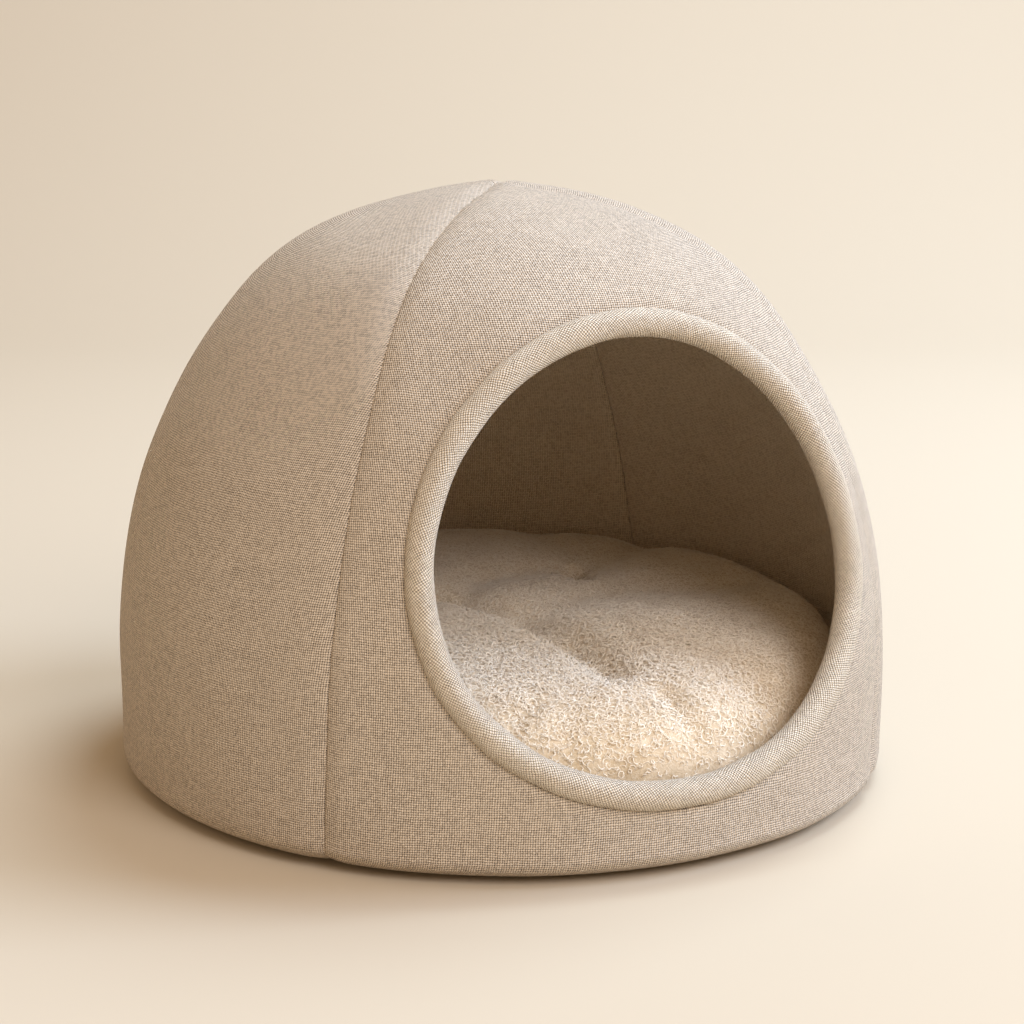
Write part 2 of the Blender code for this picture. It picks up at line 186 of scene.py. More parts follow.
wall = {
    "halfWidth": 0.225,        # outside, at the widest ring
    "widestHeight": 0.067,
    "domeRise": 0.267,         # from the widest ring to the top
    "shoulder": 0.005,         # extra fullness, centred on this lift in degrees
    "shoulderLift": 60,
    "shoulderSpread": 11,
    "oval": 0.0245,            # this share longer from front to back, and narrower across
    "thickness": 0.012,
    "curlIn": 0.030,           # the foot turns under this far
    "curlUp": 0.012,
    "innerCurlUp": 0.006,
    "footSteps": 80,           # points of the section along the foot, the side and the dome
    "sideSteps": 60,
    "domeSteps": 281,
    "crownSteps": 40,          # the last of them, where the radius only falls
    "leanSpan": 0.15,          # height where a leaning seam crosses its own plain line
    "leanRounds": 4,           # to find the turn of a point that has leant
    "gap": 0.0003,             # between gores
    "seamDip": 1.8 * mm,       # the padding is drawn in beside a seam
    "seamSpread": 7 * mm,
    "seamCut": 1.3 * mm,       # and the cloth turns down into it
    "seamCutSpread": 1.1 * mm,
    "seamFade": 12 * mm,       # up from the foot
    "dipInside": 0.6,          # how much of the dip, the cut and the unevenness shows inside
    "cutInside": 1.6,
    "unevenInside": 0.7,
    "tipRise": 2.6 * mm,       # the gores' tips gather up to a small peak, with a pit in it
    "tipSpread": 13 * mm,
    "tipPit": 2.0 * mm,
    "tipPitSpread": 3.2 * mm,
    "pucker": 0.22 * mm,       # small waves beside the seams
    "puckerSpread": 9 * mm,
    "puckerLength": 17 * mm,
    "puckerSeed": 5,
    "unevenness": 0.5 * mm,    # broad waves all over
    "unevenLength": 0.085,
    "unevenSeed": 3,
    "settleHeight": 0.02,      # below this the cloth grows even, down to the floor
}
seams = {                      # turn from the front and lean, degrees
    "leftFront": (-48.2, 1.5),
    "rightFront": (45.9, 3.0),
    "rightBack": (131.6, 4.4),
    "leftBack": (228.4, 3.0),
}
frontAzimuth = math.radians(-90)


def wallSection():
    # length, outside and inside of the wall's section, from the hem to the top
    turn = np.linspace(0, math.pi / 2, wall["footSteps"], endpoint=False)
    curlIn, curlUp = 1 - np.sin(turn), 1 - np.cos(turn)
    half, thick = wall["halfWidth"], wall["thickness"]
    outerFoot = np.stack([half - wall["curlIn"] * curlIn, wall["curlUp"] * curlUp], 1)
    innerFoot = np.stack([half - thick - (wall["curlIn"] - thick) * curlIn,
                          thick + wall["innerCurlUp"] * curlUp], 1)
    share = np.linspace(0, 1, wall["sideSteps"], endpoint=False)
    outerSide = np.stack([np.full_like(share, half),
                          mix(wall["curlUp"], wall["widestHeight"], share)], 1)
    innerSide = np.stack([np.full_like(share, half - thick),
                          mix(thick + wall["innerCurlUp"], wall["widestHeight"], share)], 1)
    lift = np.linspace(0, math.pi / 2, wall["domeSteps"])
    swell = (wall["domeRise"] - half) * np.sin(lift) ** 2
    swell += wall["shoulder"] * np.exp(
        -(((np.degrees(lift) - wall["shoulderLift"]) / wall["shoulderSpread"]) ** 2))
    away = np.stack([np.cos(lift), np.sin(lift)], 1)
    outerDome = away * (half + swell)[:, None] + [0, wall["widestHeight"]]
    outerDome[-1, 0] = 0
    slope = np.gradient(outerDome, lift, axis=0)
    normal = np.stack([slope[:, 1], -slope[:, 0]], 1)
    normal /= np.linalg.norm(normal, axis=1)[:, None]
    normal[0], normal[-1] = (1, 0), (0, 1)
    outer = np.vstack([outerFoot, outerSide, outerDome])
    inner = np.vstack([innerFoot, innerSide, outerDome - normal * thick])
    length = np.concatenate([[0], np.cumsum(np.linalg.norm(np.diff(outer, axis=0), axis=1))])
    return length, outer, inner, length[len(outerFoot)]


sectionLength, sectionOuter, sectionInner, footLength = wallSection()


def wallRadius(length):
    return np.interp(length, sectionLength, sectionOuter[:, 0])


def wallLean(length, turn):
    height = np.interp(length, sectionLength, sectionOuter[:, 1])
    turns = [math.radians(turned) for turned, _ in seams.values()]
    leans = [math.radians(leaned) for _, leaned in seams.values()]
    lean = np.interp(turn, turns, leans, period=2 * math.pi)
    return lean * (height - wall["leanSpan"]) / wall["leanSpan"]


def seamAway(length, turn):
    # distance along the cloth to the nearest seam
    nearest = np.full(np.shape(turn), math.pi)
    for turned, _ in seams.values():
        apart = (turn - math.radians(turned) + math.pi) % (2 * math.pi) - math.pi
        nearest = np.minimum(nearest, np.abs(apart))
    return nearest * wallRadius(length)


def plainPoints(length, turn, share):
    # share runs through the wall, from 0 on the outside to 1 on the inside
    outer = [np.interp(length, sectionLength, sectionOuter[:, axis]) for axis in (0, 1)]
    inner = [np.interp(length, sectionLength, sectionInner[:, axis]) for axis in (0, 1)]
    radius = mix(outer[0], inner[0], share)
    height = mix(outer[1], inner[1], share)
    azimuth = frontAzimuth + turn + wallLean(length, turn)
    radius = radius * (1 + wall["oval"] * np.cos(2 * (azimuth - frontAzimuth)))
    return np.stack([radius * np.cos(azimuth), radius * np.sin(azimuth), height], -1)


def wallPoints(length, turn, depth, rimDip=0.0):
    # the wall as sewn: drawn in at its seams, a little puckered and uneven, with a peak on top
    length, turn = np.broadcast_arrays(length, turn)
    away = seamAway(length, turn)
    fade = np.clip(length / (footLength + wall["seamFade"]), 0, 1)
    drawn = wall["seamDip"] * np.exp(-((away / wall["seamSpread"]) ** 2)) * fade
    cut = wall["seamCut"] * np.exp(-away / wall["seamCutSpread"]) * fade
    fromTop = sectionLength[-1] - length
    tip = wall["tipRise"] * np.exp(-((fromTop / wall["tipSpread"]) ** 2))
    tip = tip - wall["tipPit"] * np.exp(-((fromTop / wall["tipPitSpread"]) ** 2))
    base = plainPoints(length, turn, 0)
    uneven = softWaves(base, wall["unevenLength"], wall["unevenSeed"]) * wall["unevenness"]
    pucker = softWaves(base, wall["puckerLength"], wall["puckerSeed"]) * wall["pucker"]
    pucker *= np.exp(-away / wall["puckerSpread"])
    swell = (uneven + pucker) * np.clip(base[..., 2] / wall["settleHeight"], 0, 1)
    outerDip = drawn + cut + rimDip - tip - swell
    innerDip = drawn * wall["dipInside"] + cut * wall["cutInside"] + rimDip
    innerDip = innerDip - swell * wall["unevenInside"]
    shares = outerDip / wall["thickness"], 1 - innerDip / wall["thickness"]
    return plainPoints(length, turn, mix(*shares, depth))


def placeOf(points, share):
    # length and turn of points that lie at this share through the wall
    section = mix(sectionOuter, sectionInner, share)
    length = np.interp(points[:, 2], section[:, 1], sectionLength)
    leant = np.arctan2(points[:, 1], points[:, 0]) - frontAzimuth
    leant = (leant + math.pi) % (2 * math.pi) - math.pi
    turn = leant
    for _ in range(wall["leanRounds"]):
        turn = leant - wallLean(length, turn)
    return length, turn


# opening and its roll

opening = {
    "level": 0.0375,           # where the cut's axis leaves the dome's own axis
    "tilt": 32.7,
    "halfWide": 0.1268,
    "halfHigh": 0.1173,
    "turn": 12,
    "share": 0.35,             # depth of the roll's middle line in the wall
    "rollRadius": 7.8 * mm,
    "rimGap": -1.0 * mm,       # the panel's edge is tucked under the roll
    "steps": 720,
    "reach": (0.02, 0.4),      # the wall is met between these, along the cut's axis
    "halvings": 30,            # of that span, to find the wall
    "slopeStep": 2 * mm,       # to find the wall's slope
}


def openingLoop():
    # middle line of the roll, with the directions out of the wall and away from the opening
    tilt, twist = math.radians(opening["tilt"]), math.radians(opening["turn"])
    axis = np.array([0, -math.cos(tilt), math.sin(tilt)])
    right = np.array([1.0, 0, 0])
    up = np.cross(axis, right)
    wide = right * math.cos(twist) + up * math.sin(twist)
    high = up * math.cos(twist) - right * math.sin(twist)
    angle = np.linspace(0, 2 * math.pi, opening["steps"], endpoint=False)[:, None]
    start = wide * opening["halfWide"] * np.cos(angle) + high * opening["halfHigh"] * np.sin(angle)
    start = start + np.array([0, 0, opening["level"]])
    section = mix(sectionOuter, sectionInner, opening["share"])
    near, far = (np.full(len(start), reach) for reach in opening["reach"])
    for _ in range(opening["halvings"]):
        half = (near + far) / 2
        places = start + axis * half[:, None]
        azimuth = np.arctan2(places[:, 1], places[:, 0])
        radius = np.interp(places[:, 2], section[:, 1], section[:, 0])
        radius = radius * (1 + wall["oval"] * np.cos(2 * (azimuth - frontAzimuth)))
        inside = np.hypot(places[:, 0], places[:, 1]) < radius
        inside &= places[:, 2] < section[-1, 1]
        near, far = np.where(inside, half, near), np.where(inside, far, half)
    middle = start + axis * near[:, None]
    along = np.roll(middle, -1, 0) - np.roll(middle, 1, 0)
    along /= np.linalg.norm(along, axis=1)[:, None]
    length, turn = placeOf(middle, opening["share"])
    step = opening["slopeStep"]
    turning = step / wall["halfWidth"]
    upward = plainPoints(length + step, turn, 0) - plainPoints(length - step, turn, 0)
    sideways = plainPoints(length, turn + turning, 0) - plainPoints(length, turn - turning, 0)
    outside = np.cross(sideways, upward)
    outside -= along * np.sum(outside * along, 1)[:, None]
    outside /= np.linalg.norm(outside, axis=1)[:, None]
    away = np.cross(along, outside)
    if np.dot(away[0], middle[0] - middle.mean(0)) < 0:
        away = -away
    return middle, outside, away


# gores

gore = {
    "step": 4.5 * mm,
    "seamRows": (0, 0.4, 0.9, 1.6, 2.6, 4.2, 6.5),     # mm from a seam
    "rimRows": (8, 5.5, 3.8, 2.6, 1.7, 1.0, 0.5, 0),   # mm from the opening's rim
    "tipRows": (12, 9, 6.5, 4.5, 3, 2, 1.2, 0.6, 0),   # mm from a gore's tip
    "rowsBetween": 36,         # from the seam's rows to the rim's, in the front gore
    "fullRay": 0.03,           # where edge and rim are nearer, those rows lie closer
    "throughWall": (0, 0.08, 0.25, 0.5, 0.75, 0.92, 1),    # rows from the outside to the inside
    "rimDip": 1.8 * mm,        # the roll draws the padding in beside it
    "rimDipSpread": 3.6 * mm,
    "rimDipPower": 1.5,
    "fill": 0.5,
}


def goreEdges(length, left, right):
    inset = np.arcsin(np.minimum(wall["gap"] / 2 / wallRadius(length), 1))
    return left + inset, right - inset


def tipLength(left, right):
    radius = wall["gap"] / 2 / math.sin((right - left) / 2)
    crown = slice(-wall["crownSteps"], None)
    return float(np.interp(-radius, -sectionOuter[crown, 0], sectionLength[crown]))


def rowsUpTo(start, tip):
    # rows of points up the gore, close together where its tip ends
    tipRows = tip - np.array(gore["tipRows"]) * mm
    steps = round((tipRows[0] - start) / gore["step"])
    return np.concatenate([np.linspace(start, tipRows[0], steps + 1), tipRows[1:]])


def columnShares(width):
    near = [row * mm / width for row in gore["seamRows"]]
    steps = round((0.5 - near[-1]) * width / gore["step"])
    left = near[:-1] + list(np.linspace(near[-1], 0.5, steps + 1))
    return np.array(left + [1 - share for share in reversed(left[:-1])])


def weavePlaces(length, turn, left, right):
    # cloth coordinates: across from the gore's middle line, and up along it
    across = (turn - (left + right) / 2) * wallRadius(length)
    return np.stack(np.broadcast_arrays(across, length), -1)


def makeGore(name, leftSeam, rightSeam):
    left, right = math.radians(seams[leftSeam][0]), math.radians(seams[rightSeam][0])
    if right < left:
        right += 2 * math.pi
    tip = tipLength(left, right)
    rows = rowsUpTo(0, tip)
    shares = columnShares((right - left) * wall["halfWidth"])
    low, high = goreEdges(rows, left, right)
    low[-1] = high[-1] = (left + right) / 2
    turn = mix(low[:, None], high[:, None], shares[None, :])
    length = np.broadcast_to(rows[:, None], turn.shape)
    weave = weavePlaces(length, turn, left, right)
    patches = Patches()
    patches.add(wallPoints(length, turn, 0), weave)
    patches.add(wallPoints(length, turn, 1), weave, flip=True)
    through = np.array(gore["throughWall"])
    for place, flip in ((np.s_[:, 0], True), (np.s_[:, -1], False), (np.s_[0, :], False)):
        edgeLength, edgeTurn = length[place][:, None], turn[place][:, None]
        strip = wallPoints(edgeLength + through * 0, edgeTurn + through * 0, through)
        stripWeave = weavePlaces(edgeLength + through * 0, edgeTurn, left, right)
        patches.add(strip, stripWeave, flip=flip)
    return patches.make(name)


def makeFrontGore(name, middle, away):
    left, right = (math.radians(seams[seam][0]) for seam in ("leftFront", "rightFront"))
    tip = tipLength(left, right)
    footRows = np.linspace(0, footLength, round(footLength / gore["step"]) + 1)
    shares = columnShares((right - left) * wall["halfWidth"])
    low, high = goreEdges(footRows, left, right)
    footTurn = mix(low[:, None], high[:, None], shares[None, :])
    footLengths = np.broadcast_to(footRows[:, None], footTurn.shape)
    # the rest is drawn from the gore's edge in to the rim, on the gore laid flat
    sideRows = rowsUpTo(footLength, tip)
    low, high = goreEdges(sideRows, left, right)
    low[-1] = high[-1] = (left + right) / 2
    edgeLength = np.concatenate([np.full(len(shares), footLength), sideRows[1:], sideRows[-2:0:-1]])
    edgeTurn = np.concatenate([footTurn[-1], high[1:], low[-2:0:-1]])
    edge = np.stack([edgeTurn * wallRadius(edgeLength), edgeLength], 1)
    rimPoints = middle + away * (opening["rollRadius"] + opening["rimGap"])
    rimLength, rimTurn = placeOf(rimPoints, opening["share"])
    rim = np.stack([rimTurn * wallRadius(rimLength), rimLength], 1)
    centre = rim.mean(0)
    rimAngle = np.arctan2(rim[:, 1] - centre[1], rim[:, 0] - centre[0])
    angle = np.arctan2(edge[:, 1] - centre[1], edge[:, 0] - centre[0])
    end = np.stack([np.interp(angle, rimAngle, rim[:, axis], period=2 * math.pi)
                    for axis in (0, 1)], 1)
    ray = np.linalg.norm(end - edge, axis=1)
    fit = np.minimum(1, ray / gore["fullRay"])
    outerBand = np.array(gore["seamRows"])[None, :] * mm * fit[:, None]
    innerBand = ray[:, None] - np.array(gore["rimRows"])[None, :] * mm * fit[:, None]
    between = np.linspace(0, 1, gore["rowsBetween"])[1:-1]
    between = mix(outerBand[:, -1:], innerBand[:, :1], between[None, :])
    distance = np.hstack([outerBand, between, innerBand])
    share = distance / ray[:, None]
    flat = mix(edge[:, None, :], end[:, None, :], share[..., None])
    length = flat[..., 1]
    turn = flat[..., 0] / wallRadius(length)
    length = np.vstack([length, length[:1]])
    turn = np.vstack([turn, turn[:1]])
    toRim = ray[:, None] - distance
    toRim = np.vstack([toRim, toRim[:1]])
    dip = gore["rimDip"] * np.exp(-((toRim / gore["rimDipSpread"]) ** gore["rimDipPower"]))
    weave = weavePlaces(length, turn, left, right)
    patches = Patches()
    patches.add(wallPoints(length, turn, 0, dip), weave, flip=True)
    patches.add(wallPoints(length, turn, 1, dip), weave)
    footWeave = weavePlaces(footLengths, footTurn, left, right)
    patches.add(wallPoints(footLengths, footTurn, 0), footWeave)
    patches.add(wallPoints(footLengths, footTurn, 1), footWeave, flip=True)
    through = np.array(gore["throughWall"])
    borders = [
        (length[:, -1], turn[:, -1], dip[:, -1:], True),
        (length[:, 0][len(shares) - 1:], turn[:, 0][len(shares) - 1:], 0.0, False),
        (footLengths[:, 0], footTurn[:, 0], 0.0, True),
        (footLengths[:, -1], footTurn[:, -1], 0.0, False),
        (footLengths[0], footTurn[0], 0.0, False),
    ]
    for borderLength, borderTurn, borderDip, flip in borders:
        stripLength = borderLength[:, None] + through * 0
        stripTurn = borderTurn[:, None] + through * 0
        strip = wallPoints(stripLength, stripTurn, through, borderDip)
        patches.add(strip, weavePlaces(stripLength, stripTurn, left, right), flip=flip)
    return patches.make(name)


def paintLightInside(piece, paintedLightInside):
    # the faces that look into the cave take the paler copy of the linen, which is painted light
    piece.data.materials.append(paintedLightInside)
    middle = Vector((0, 0, wall["widestHeight"]))
    for face in piece.data.polygons:
        face.material_index = int(face.normal.dot(face.center - middle) < 0)


# roll

roll = {
    "sides": 32,
    "steps": 480,
    "uneven": 0.25 * mm,
    "unevenLength": 0.03,
    "seed": 11,
    "fill": 0.8,
}


def makeRoll(middle, outside, away):
    pick = np.linspace(0, opening["steps"], roll["steps"], endpoint=False)
    places = np.arange(opening["steps"])
    centre, out, sideways = (
        np.stack([np.interp(pick, places, values[:, axis], period=opening["steps"])
                  for axis in range(3)], 1)
        for values in (middle, outside, away))
    theta = np.linspace(-math.pi, math.pi, roll["sides"], endpoint=False)
    arm = (out[:, None, :] * np.cos(theta)[None, :, None]
           + sideways[:, None, :] * np.sin(theta)[None, :, None])
    radius = opening["rollRadius"] - roll["uneven"]
    base = centre[:, None, :] + arm * radius
    lift = softWaves(base, roll["unevenLength"], roll["seed"]) * roll["uneven"]
    points = base + arm * lift[..., None]
    around = np.linalg.norm(np.roll(centre, -1, 0) - centre, axis=1)
    along = np.concatenate([[0], np.cumsum(around)[:-1]])
    weave = np.stack(np.broadcast_arrays(along[:, None], theta[None, :] * radius), -1)
    indices = np.arange(roll["steps"] * roll["sides"]).reshape(roll["steps"], roll["sides"])
    indices = np.pad(indices, ((0, 1), (0, 1)), mode="wrap")
    return makeMesh("opening_roll_cloth", points.reshape(-1, 3), gridFaces(indices),
                    weave.reshape(-1, 2), (float(around.sum()), 2 * math.pi * radius))


# base

base = {
    "radius": 0.1941,
    "thickness": 0.012,
    "edge": 3 * mm,
    "edgeSteps": 6,
    "middle": 2 * mm,          # radius of the innermost ring
    "spokes": 160,
    "rings": 30,
    "fill": 0.6,
}


def ovalRing(radius, azimuth):
    reach = radius * (1 + wall["oval"] * np.cos(2 * (azimuth - frontAzimuth)))
    return np.stack([reach * np.cos(azimuth), reach * np.sin(azimuth)], -1)


def makeBase():
    bend = np.linspace(0, math.pi / 2, base["edgeSteps"])
    edgeRadius = base["radius"] - base["edge"] * (1 - np.sin(bend))
    edgeHeight = base["edge"] * (1 - np.cos(bend))
    flat = np.linspace(base["middle"], base["radius"] - base["edge"], base["rings"])[:-1]
    radius = np.concatenate([flat, edgeRadius, edgeRadius[::-1], flat[::-1]])
    height = np.concatenate([np.zeros(len(flat)), edgeHeight,
                             base["thickness"] - edgeHeight[::-1],
                             np.full(len(flat), base["thickness"])])
    azimuth = np.linspace(0, 2 * math.pi, base["spokes"], endpoint=False)
    plan = ovalRing(radius[:, None], azimuth[None, :])
    rings = np.concatenate([plan, np.broadcast_to(height[:, None, None], plan.shape[:2] + (1,))], -1)
    return makeRound("base_canvas_floor", rings, 0, base["thickness"], woven=True)


# cushion

cushion = {
    "radius": 0.2065,
    "foot": 0.0123,
    "seamHeight": 0.041,
    "crown": 0.0912,           # over the middle
    "slope": 0.015,            # rise of the crown towards the back, metres for each metre
    "fullness": 22,            # how square the shoulder is, at the back and the sides
    "frontFullness": 6,
    "frontNarrow": 3,          # how closely the front's own shoulder keeps to the front
    "flat": 0.80,              # share of the radius that lies flat on the base
    "scallops": 11,
    "scallopDepth": 1.6 * mm,
    "pileRoom": 2.2 * mm,      # the cloth lies this far under the tips of the pile
    "pileRoomPower": 8,        # how late that room shrinks on the way down to the seam
    "spokes": 280,
    "topRings": 84,
    "crowding": 0.75,          # of the top's rings towards its edge
    "footRings": 10,
    "flatRings": 20,
    "middle": 0.02,            # share of the radius at the innermost ring
    "fill": 0.7,
}
folds = [                      # spread and depth in mm, then the way it runs, x and y in mm
    (13, 8.0, (-36, 46), (-12, 28), (-2, -4), (2, -45), (4, -75), (3, -108), (-1, -138)),
    (14, 2.5, (6, -84), (6, -122)),
    (17, 5.0, (-12, 44), (24, 64), (60, 66), (92, 58), (128, 82), (160, 100)),
    (7, 4.5, (72, 34), (84, 66)),
    (15, 3.0, (84, 66), (97, 112), (100, 152)),
    (20, 3.5, (14, -24), (50, -4), (92, -4), (128, -16), (160, -14)),
    (7, 4.5, (14, -172), (16, -206)),
    (5, 2.5, (-77, -175), (-56, -162)),
    (16, 4.0, (-110, -60), (-165, -86)),
    (16, 5.0, (-120, 60), (-190, 72)),
    # swells, which rise instead
    (44, -2.5, (40, 122)),
    (36, -2.0, (138, 44)),
    (34, -2.5, (66, -70)),
    (40, -1.5, (-60, -70)),
]


def foldDistance(x, y, places):
    nearest = np.full(np.shape(x), np.inf)
    for (x0, y0), (x1, y1) in zip(places, places[1:] or places):
        runX, runY = x1 - x0, y1 - y0
        part = ((x - x0) * runX + (y - y0) * runY) / max(runX ** 2 + runY ** 2, 1)
        part = np.clip(part, 0, 1)
        nearest = np.minimum(nearest, np.hypot(x - x0 - runX * part, y - y0 - runY * part))
    return nearest


def cushionTop(x, y, share):
    crown = cushion["crown"] + cushion["slope"] * y
    frontness = ((1 - np.sin(np.arctan2(y, x))) / 2) ** cushion["frontNarrow"]
    fullness = mix(cushion["fullness"], cushion["frontFullness"], frontness)
    fall = np.maximum(0, 1 - share ** fullness) ** 0.5
    height = mix(cushion["seamHeight"], crown, fall)
    for spread, depth, *places in folds:
        distance = foldDistance(x / mm, y / mm, places)
        height = height - fall * depth * mm * np.exp(-((distance / spread) ** 2))
    return height


def makeCushion():
    azimuth = np.linspace(0, 2 * math.pi, cushion["spokes"], endpoint=False)
    wave = cushion["scallopDepth"] * (1 + np.cos(cushion["scallops"] * azimuth)) / 2
    footTurn = np.linspace(0, math.pi / 2, cushion["footRings"], endpoint=False)
    flatShare = np.linspace(cushion["middle"], cushion["flat"], cushion["flatRings"])[:-1]
    footShare = np.concatenate([flatShare, mix(cushion["flat"], 1, np.sin(footTurn))])
    footHeight = np.concatenate([np.full(len(flatShare), cushion["foot"]),
                                 mix(cushion["foot"], cushion["seamHeight"], 1 - np.cos(footTurn))])
    topTurn = np.linspace(0, math.pi / 2, cushion["topRings"], endpoint=False)
    topShare = np.cos(topTurn) ** cushion["crowding"]
    share = np.concatenate([footShare, topShare])
    reach = (cushion["radius"] - cushion["pileRoom"] - wave[None, :]) * share[:, None]
    plan = ovalRing(reach, azimuth[None, :])
    height = np.broadcast_to(footHeight[:, None], (len(footHeight), len(azimuth)))
    top = cushionTop(plan[len(footShare):, :, 0], plan[len(footShare):, :, 1], topShare[:, None])
    room = cushion["pileRoom"] * (1 - topShare[:, None] ** cushion["pileRoomPower"])
    height = np.vstack([height, top - room])
    rings = np.concatenate([plan, height[..., None]], -1)
    crown = float(cushionTop(0.0, 0.0, 0.0)) - cushion["pileRoom"]
    return makeRound("cushion_fleece", rings, cushion["foot"], crown)


pile = {                       # drawn as single locks, coarser than real fibres, so that they show
    "pitch": 2.24 * mm,        # between locks
    "jitter": 0.45,
    "length": (7.0 * mm, 11.0 * mm),
    "thread": (0.25 * mm, 0.38 * mm),
    "section": (-20, 90, 200),     # degrees round the thread, open where it lies on the cloth
    "turning": (190, 420),     # degrees that a lock curls through
    "waved": 0.35,             # share of the locks that curl back halfway
    "rootHeight": (0.0, 0.6 * mm),
    "lift": (0.2 * mm, 0.6 * mm),
    "slant": 0.3,
    "flat": 0.55,              # height of a thread, as a share of its half width
    "looseMiddle": (-45, -150),    # mm: the locks stand up most round this place, at the front left
    "looseReach": (60, 160),   # mm from there: loosest within the first, closest beyond the second
    "loose": (1.5, 0.5),
    "taper": ((0, 0.2, 0.8, 1), (0.4, 1, 1, 0.4)),     # places along a lock, and its width there
    "segments": 5,
    "pieces": 4,
    "castFrom": 0.3,           # height above the cushion
    "seed": 21,
}


def pileSpots(cloth):
    # even but jittered places on the cushion's top, found from above, with its slope there
    rng = np.random.default_rng(pile["seed"])
    tree = BVHTree.FromObject(cloth, bpy.context.evaluated_depsgraph_get())
    reach = cushion["radius"] * (1 + wall["oval"])
    pitch = pile["pitch"]
    spots = []
    for row, y in enumerate(np.arange(-reach, reach, pitch * math.sqrt(3) / 2)):
        for x in np.arange(-reach + pitch / 2 * (row % 2), reach, pitch):
            shift = rng.uniform(-1, 1, 2) * pile["jitter"] * pitch
            start = Vector((x + shift[0], y + shift[1], pile["castFrom"]))
            place, normal, _, _ = tree.ray_cast(start, Vector((0, 0, -1)))
            if place is not None and place.z > cushion["seamHeight"]:
                spots.append((*place, *normal))
    return np.array(spots)


def makePile(cloth):
    spots = pileSpots(cloth)
    rng = np.random.default_rng(pile["seed"] + 1)
    spots = spots[rng.permutation(len(spots))]
    made = []
    for number, chunk in enumerate(np.array_split(spots, pile["pieces"])):
        made.append(makeCurls(f"cushion_pile_{number + 1}", chunk, rng))
    print(f"pile: {len(spots)} curls")
    return made


def makeCurls(name, spots, rng):
    # each lock is a short thread that lies on the cloth and curls round, or waves to and fro
    count, rings, sides = len(spots), pile["segments"] + 1, len(pile["section"])
    place, normal = spots[:, :3], spots[:, 3:]
    first = np.cross(normal, rng.normal(size=(count, 3)))
    first /= np.linalg.norm(first, axis=1)[:, None]
    second = np.cross(normal, first)
    along = np.linspace(0, 1, rings)
    turning = np.radians(rng.uniform(*pile["turning"], count)) * rng.choice([-1, 1], count)
    waved = rng.uniform(size=count) < pile["waved"]
    heading = turning[:, None] * np.where(waved[:, None], np.abs(2 * along - 1), along)
    step = rng.uniform(*pile["length"], count)[:, None] / pile["segments"]
    between = (heading[:, 1:] + heading[:, :-1]) / 2
    run = [np.cumsum(np.pad(step * wave(between), ((0, 0), (1, 0))), axis=1)
           for wave in (np.cos, np.sin)]
    run = [line - line.mean(1, keepdims=True) for line in run]
    reach = np.linalg.norm(place[:, :2] / mm - pile["looseMiddle"], axis=1)[:, None]
    loose = np.interp(reach, pile["looseReach"], pile["loose"])
    lift = rng.uniform(*pile["lift"], count)[:, None] * loose
    slant = rng.normal(0, pile["slant"], (2, count, 1)) * loose
    rise = rng.uniform(*pile["rootHeight"], (count, 1)) + lift * np.sin(math.pi * along)
    rise = rise + slant[0] * run[0] + slant[1] * run[1]
    centre = (place[:, None, :] + first[:, None, :] * run[0][..., None]
              + second[:, None, :] * run[1][..., None] + normal[:, None, :] * rise[..., None])
    outward = (second[:, None, :] * np.cos(heading)[..., None]
               - first[:, None, :] * np.sin(heading)[..., None])
    taper = np.interp(along, *pile["taper"])
    turn = np.radians(pile["section"])
    thick = rng.uniform(*pile["thread"], count)[:, None, None] * taper[None, :, None]
    high = thick * pile["flat"] * loose[..., None]
    points = (centre[:, :, None, :]
              + outward[:, :, None, :] * (thick * np.cos(turn))[..., None]
              + normal[:, None, None, :] * (high * np.sin(turn))[..., None])
    block = rings * sides
    quads = gridFaces(np.arange(block).reshape(rings, sides))
    # a triangle closes the thread at each end
    ends = np.array([[2, 1, 0, 2], [block - 3, block - 2, block - 1, block - 3]])
    faces = np.vstack([quads, ends])
    faces = faces[None] + (np.arange(count) * block)[:, None, None]
    return makeMesh(name, points.reshape(-1, 3), faces.reshape(-1, 4))


# materials

linen = {                      # the outer cloth
    "pitch": 1.25,             # mm between threads
    "light": "#E6D4BC",
    "mid": "#C4B29B",
    # painted shade: the colour of the pits between the threads
    "pit": "#4C3D2C",
    "pitTop": 0.12,            # level below which a pit is at its darkest
    "filledAt": 0.55,          # level where the pits' shade has gone
    "relief": 1.5,             # mm, from the pits to the tops of the threads
    "over": 0.3,               # share of the relief from one thread crossing over another
    "pebbles": 0.15,           # how far each crossing stands up by itself
    "crownPower": 0.6,         # how round such a crossing is
    "wander": 1.2,             # threads
    "wanderScale": 0.11,       # for each thread, as are the next two scales
    "yarnScale": 0.9,          # a yarn's own shade, across it
    "patchScale": 0.03,
    "slubs": 0.035,            # the yarn's scale along it, as a share of the one across
    "yarnShade": 0.8,
    "patchShade": 0.25,
    "crossingShade": 0.8,
    "shadeRange": (0.4, 1.45),
    "tone": 0.3,               # how far the shades move the level, up or down
    "turned": 0,               # degrees from the gore's own grain
    "plainBand": None,         # where the weave dies away, mm along V, for a roll
    "bandLevel": 0.8,
    "roughness": 0.92,
    "sheen": 0.2,
    "sheenRoughness": 0.6,
    "ior": 1.5,
    "specular": 0.25,
}
# painted light: the faces inside the cave take a paler copy of the linen, with paler and shallower pits,
# standing in for the light that little reaches them
paintedLightInside = {**linen, "light": "#F2DFC4", "mid": "#DCC6A6", "pit": "#8A7152", "relief": 0.8}
# the roll's linen: cut across the thread, so its weave runs aslant and its pits stretch open.
# It grows plain close to where it meets the front gore, at these shares of the way round to there
rollSide = math.pi / 2 * opening["rollRadius"] / mm
rollPlain = (0.72, 0.84)
binding = {
    **linen,
    "light": "#FFEFD6",
    "mid": "#EDD8BB",
    "pit": "#44331F",
    "filledAt": 0.38,
    "relief": 2.0,
    "pebbles": 0.35,
    "wander": 2.0,
    "turned": 32,
    "plainBand": [rollSide * share for share in rollPlain],
}
